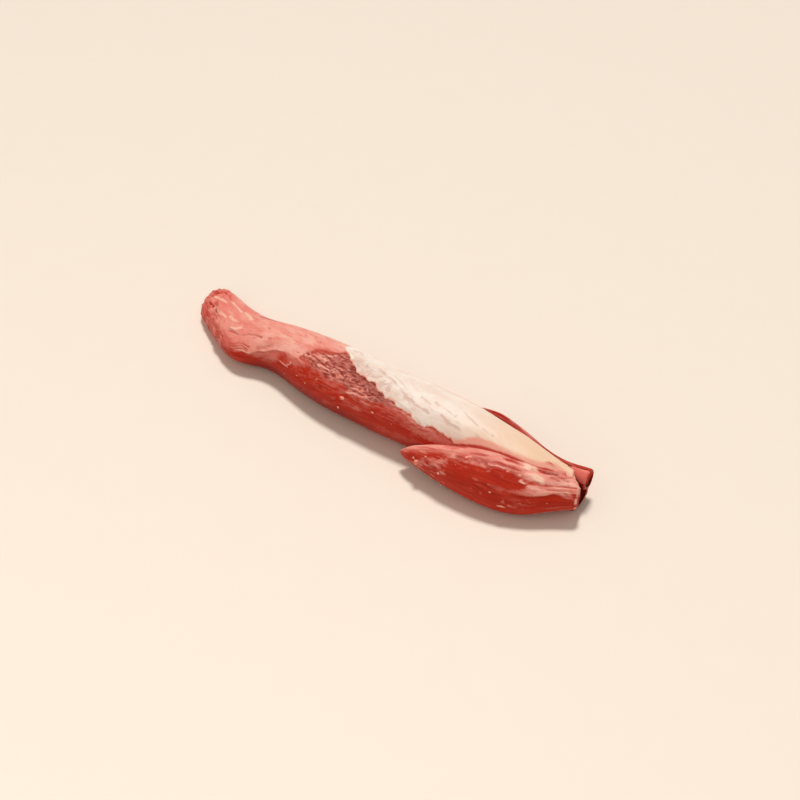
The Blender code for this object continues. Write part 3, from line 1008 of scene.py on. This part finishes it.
def makeChain(material):
    rows = muscleRows(chain)
    x, angle, inset, scale, isFace = rows
    points = onMuscle(chain["stations"], x, angle, inset, scale, chain)
    noise = noises(fibreSpace(x, angle, chain["skinRadius"] * scale), chain["noise"])
    wander, strands = noise["wander"], noise["strands"]
    marks = drawnMarks(points, chain["stations"], wander, chain["marks"])
    height = chain["lumps"] * softNoise(points, chain["lumpSize"], 73, 2) + chain["strandHeight"] * strands
    height += markHeight(marks, chain["marks"])

    # a flat salmon-coloured facet at its end, a filmy top that is partly painted light, and painted shade
    # from the groove beside it
    facet = ramp(245, 250, x) * plateau(-8, 0, 70, 85, angle)
    pastEdge = angle - alongEdge(chain["innerEdge"], x)
    inner = 0.8 * ramp(-6, 6, pastEdge + 8 * wander) * ramp(249, 243, x)
    top = ramp(38, 10, np.abs(pastEdge + chain["topWidth"] + 10 * wander))
    film = 0.5 * top * ramp(-0.6, 0.3, strands + 0.5 * wander) * ramp(236, 216, x)
    film += facet + 0.12 * ramp(250, 256, x) * ramp(30, 10, np.abs(angle + 32))
    film += 0.3 * plateau(232, 240, 246, 252, x) * top
    film += 0.5 * ramp(-60, -90, angle) * ramp(0, 0.5, strands + wander)
    height = height * ramp(100, 110, x) * (1 - 0.7 * facet * (1 - marks["gaps"]))
    masks = dict(film=film * (1 - isFace), rosy=0.95 * facet,
                 shadedCrease=np.maximum(0.6 * marks["gaps"], inner) * (1 - isFace))
    return coverMuscle("chainStrip", chain, rows, height, masks, material)


# fat beads and flecks

fatBeads = dict(
    # muscle, x, angle, half length, half width, half height
    placed=[
        ("fillet", -18, 62, 3.4, 2.2, 1.5), ("side", 97, 53, 3.2, 3.0, 2.6), ("side", 92, 40, 1.6, 1.2, 0.9),
        ("side", 106, 17, 1.6, 1.3, 1.0), ("side", 127, 48, 1.8, 1.4, 0.8), ("side", 118, 86, 1.9, 1.2, 0.9),
        ("side", 130, 93, 1.5, 2.0, 0.9), ("fillet", -20, 84, 1.8, 1.4, 0.9),
        ("fillet", -100, 52, 1.6, 1.0, 0.8),
        ("fillet", 24, 62, 1.2, 1.0, 0.7), ("side", 203, 62, 5.0, 1.1, 0.5),
    ],
    scattered=18, scatterSeed=11,
    around=10, rings=6,
)


def makeFatBeads(material):
    # each bead is a ball of few faces, squashed onto the muscle and turned to its surface
    around, rings = fatBeads["around"], fatBeads["rings"]
    draw = np.random.default_rng(fatBeads["scatterSeed"])
    places = list(fatBeads["placed"])
    for n in range(fatBeads["scattered"]):
        onSide = n % 2 == 0
        size = 0.35 + 0.5 * draw.uniform(0, 1) ** 2
        x = draw.uniform(95, 245) if onSide else draw.uniform(-110, 80)
        angle = draw.uniform(0, 100) if onSide else draw.uniform(46, 92)
        kind = "side" if onSide else "fillet"
        places.append((kind, x, angle, size * draw.uniform(1.2, 3), size, 0.35 * size))
    tall = np.linspace(0, math.pi, rings + 1)[1:-1, None]
    turn = np.linspace(0, 2 * math.pi, around + 1)[None, :-1]
    ball = np.stack([np.sin(tall) * np.cos(turn), np.sin(tall) * np.sin(turn), np.cos(tall) + 0 * turn],
                    axis=-1)
    ball = np.concatenate([ball.reshape(-1, 3), [[0, 0, 1], [0, 0, -1]]])
    # its rows run downwards, so each face is turned to look outwards, from the same first corner
    faces = [face[:1] + face[:0:-1] for face in tubeFaces(rings + 1, around)]
    vertices, allFaces = [], []
    for kind, x, angle, length, width, thick in places:
        stations = fillet["stations"] if kind == "fillet" else sideMuscle["stations"]
        here, ahead, beside = onMuscle(stations, np.array([x, x + 1.0, x]),
                                       np.array([angle, angle, angle + 2.0]))
        along = (ahead - here) / np.linalg.norm(ahead - here)
        out = np.cross(along, beside - here)
        out = out / np.linalg.norm(out)
        if out @ (here - np.array([x, *splineSections(stations, x)[:2]])) < 0:
            out = -out
        cross = np.cross(out, along)
        lumpy = 1 + 0.18 * softNoise(ball * 4 + here, 3, 81)[:, None]
        body = ball * lumpy * np.array([length, width, thick])
        first = len(vertices) * len(ball)
        rise = body[:, 2:] + 0.3 * thick + 0.5
        vertices.append(here + body[:, :1] * along + body[:, 1:2] * cross + rise * out)
        allFaces += [[v + first for v in face] for face in faces]
    vertices = np.concatenate(vertices)
    return makeObject("fatBeads", vertices, allFaces, {}, vertices, material)


beef = makeBeef()
makeFillet(beef)
makeSilverskinSheet(makeSilverskin())
makeSideMuscle(beef)
makeChain(beef)
makeFatBeads(makeFat())
shadedCutFace = makeShadedCutFace()
makeCutEnd("filletCutEnd", fillet, shadedCutFace)
makeCutEnd("sideMuscleCutEnd", sideMuscle, shadedCutFace)
makeCutEnd("chainCutEnd", chain, shadedCutFace)


# the stage: a plain pale floor, a large soft light from behind and above, a weak one from the front

view = dict(azimuth=33, elevation=45, distance=1.8, lens=72, target=(0.029, 0.013, 0.025))
stage = dict(floorColour="#F5F0E9", floorSide=6, keyStrength=2.2, keySpread=12, keyFrom=(-0.22, 0.48, 1.15),
             keyColour="#FFF6EC", fillPower=6, fillSize=1.8, fillColour="#FFEBD8",
             fillFrom=(0.1, -1.3, 1.0), sky="#FFF0E2", skyStrength=0.33)


def addLight(name, kind, place, power, colour):
    # a lamp that looks from its place at the target
    light = bpy.data.lights.new(name, kind)
    light.energy = power
    light.color = linearColour(colour)[:3]
    lamp = bpy.data.objects.new(name, light)
    lamp.location = place
    lamp.rotation_mode = "QUATERNION"
    lamp.rotation_quaternion = (Vector(place) - Vector(view["target"])).to_track_quat("Z", "Y")
    bpy.context.scene.collection.objects.link(lamp)
    return light


def makeFloor():
    half = stage["floorSide"] / 2
    mesh = bpy.data.meshes.new("floor")
    corners = [(-half, -half, 0), (half, -half, 0), (half, half, 0), (-half, half, 0)]
    mesh.from_pydata(corners, [], [(0, 1, 2, 3)])
    floor = bpy.data.objects.new("floor", mesh)
    material = newMaterial("paleFloor")
    speckle = noisePattern(material, 40, 1, 2, alongFibres=False)
    colour = mixColours(material, multiply(material, speckle, 0.1), stage["floorColour"], "#EADBCB")
    mesh.materials.append(finishMaterial(material, colour, {"Roughness": 0.8}, []))
    bpy.context.scene.collection.objects.link(floor)


def makeCamera():
    # the camera looks down at the target from the given azimuth and elevation
    turn, rise = math.radians(view["azimuth"]), math.radians(view["elevation"])
    back = Vector((math.sin(turn) * math.cos(rise), -math.cos(turn) * math.cos(rise), math.sin(rise)))
    data = bpy.data.cameras.new("camera")
    data.sensor_width = 36
    data.lens = view["lens"]
    camera = bpy.data.objects.new("camera", data)
    camera.location = Vector(view["target"]) + back * view["distance"]
    camera.rotation_mode = "QUATERNION"
    camera.rotation_quaternion = (-back).to_track_quat("-Z", "Y")
    bpy.context.scene.collection.objects.link(camera)
    bpy.context.scene.camera = camera


def makeSky():
    world = bpy.data.worlds.new("sky")
    bpy.context.scene.world = world
    world.use_nodes = True
    world.node_tree.nodes["Background"].inputs["Color"].default_value = linearColour(stage["sky"])
    world.node_tree.nodes["Background"].inputs["Strength"].default_value = stage["skyStrength"]


makeFloor()
makeSky()
makeCamera()
key = addLight("keyLight", "SUN", stage["keyFrom"], stage["keyStrength"], stage["keyColour"])
key.angle = math.radians(stage["keySpread"])
fill = addLight("fillLight", "AREA", stage["fillFrom"], stage["fillPower"], stage["fillColour"])
fill.size = stage["fillSize"]
bpy.context.scene.view_settings.view_transform = "Standard"
print("stage set")
